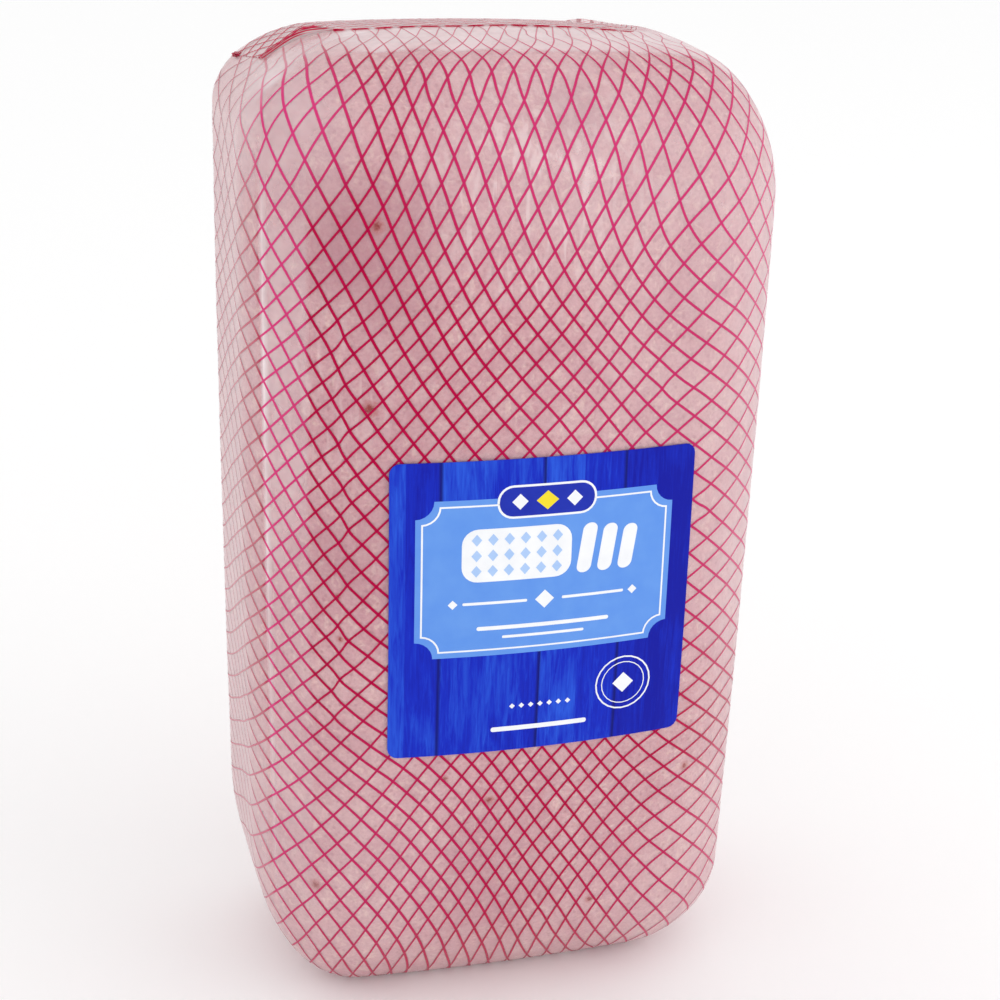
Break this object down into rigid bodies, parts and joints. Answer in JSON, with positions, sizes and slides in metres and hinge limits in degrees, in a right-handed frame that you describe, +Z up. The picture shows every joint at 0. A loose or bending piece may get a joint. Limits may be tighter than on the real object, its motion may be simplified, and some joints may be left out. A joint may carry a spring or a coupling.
{
  "type": "packaged ham loaf",
  "caption": "Pressed ham loaf in a clear shrink film printed with a red net, with a blue paper label on its front and the film's end folded over the top.",
  "frame": {"origin": "centre of the base, on the surface that the loaf stands on", "axes": "+Z up along the loaf's length, -Y out of the labelled front, +X to the right as seen from the front"},
  "size_m": [0.1678, 0.1148, 0.3156],
  "materials": {
    "filmed_ham": "clear glossy film with a printed red net over pale pink pressed ham",
    "label_paper": "coated paper printed in blues, satin"
  },
  "bodies": {
    "root": {"ham_pack": "filmed_ham", "front_label": "label_paper"}
  },
  "joints": []
}
